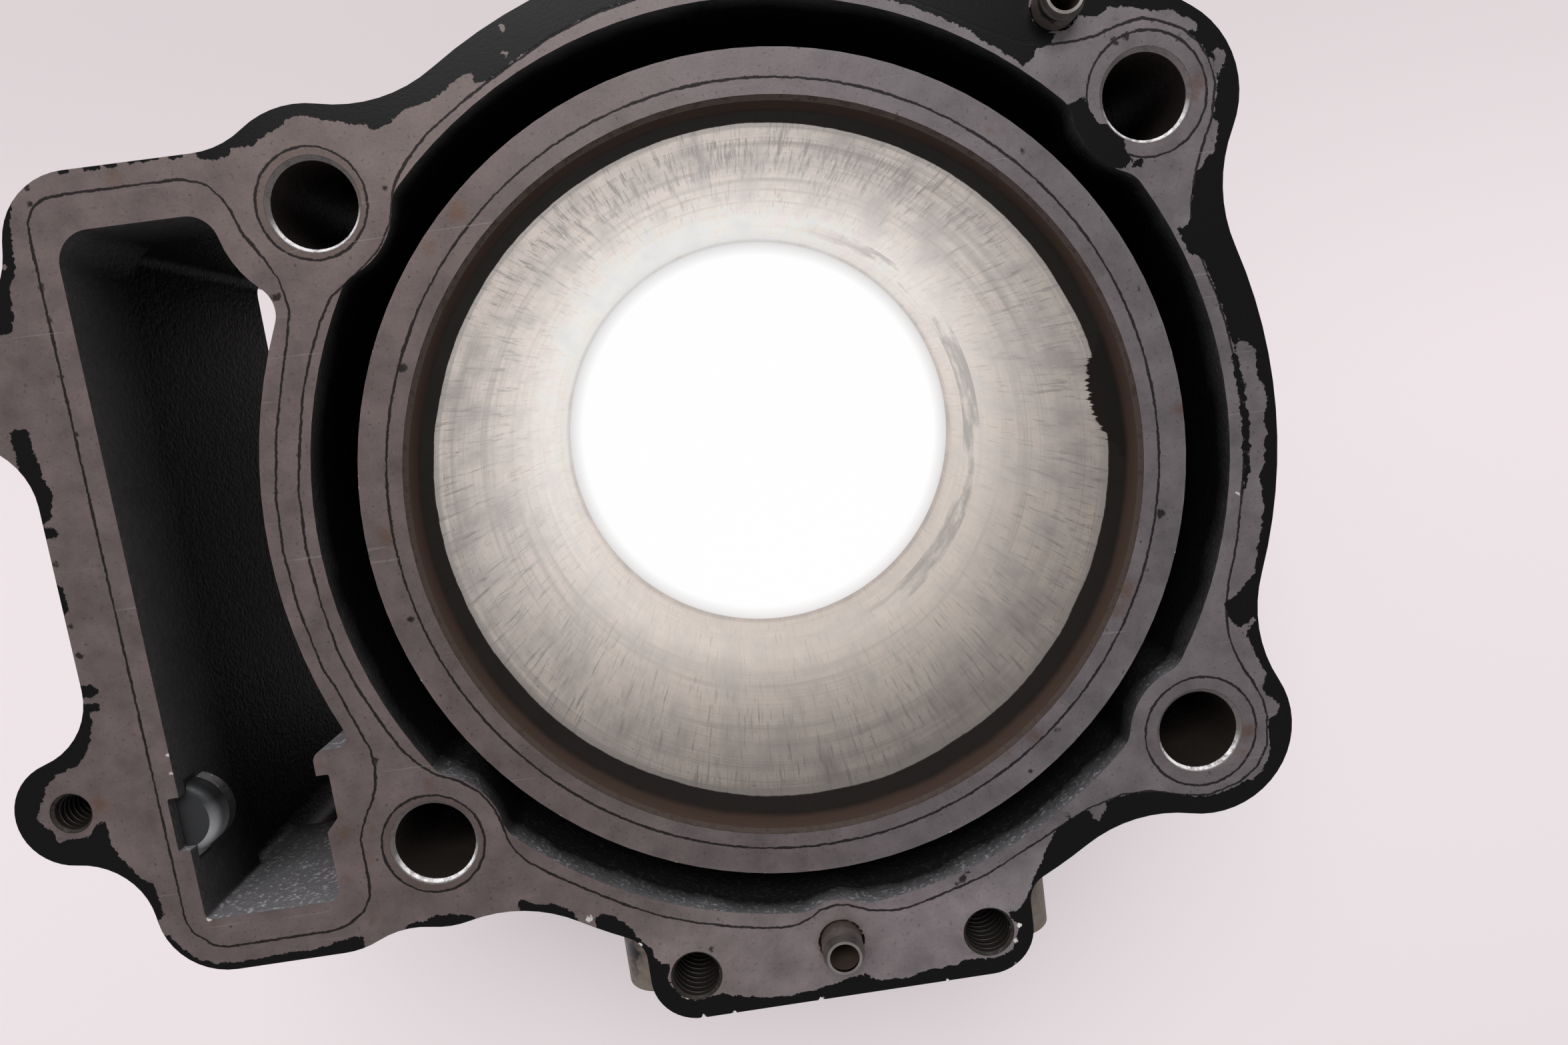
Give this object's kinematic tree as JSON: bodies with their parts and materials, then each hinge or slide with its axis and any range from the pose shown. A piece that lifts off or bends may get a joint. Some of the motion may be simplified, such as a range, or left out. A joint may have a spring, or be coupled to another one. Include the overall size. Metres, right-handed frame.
{
  "type": "engine cylinder",
  "caption": "Liquid-cooled engine cylinder with a plated bore, an open water jacket, a side tunnel for the timing chain, head bolt holes and hollow dowels.",
  "frame": {"origin": "on the bore axis at the base gasket face", "axes": "+Z along the bore towards the deck, -X towards the chain tunnel, -Y towards the ear with the dowel"},
  "size_m": [0.1802, 0.1484, 0.1415],
  "materials": {
    "cast_aluminium": "cast, with machined faces",
    "dowel_steel": "ground, worn"
  },
  "bodies": {
    "root": {"cylinder_casting": "cast_aluminium", "ear_dowel": "dowel_steel", "side_dowel": "dowel_steel"}
  },
  "joints": []
}
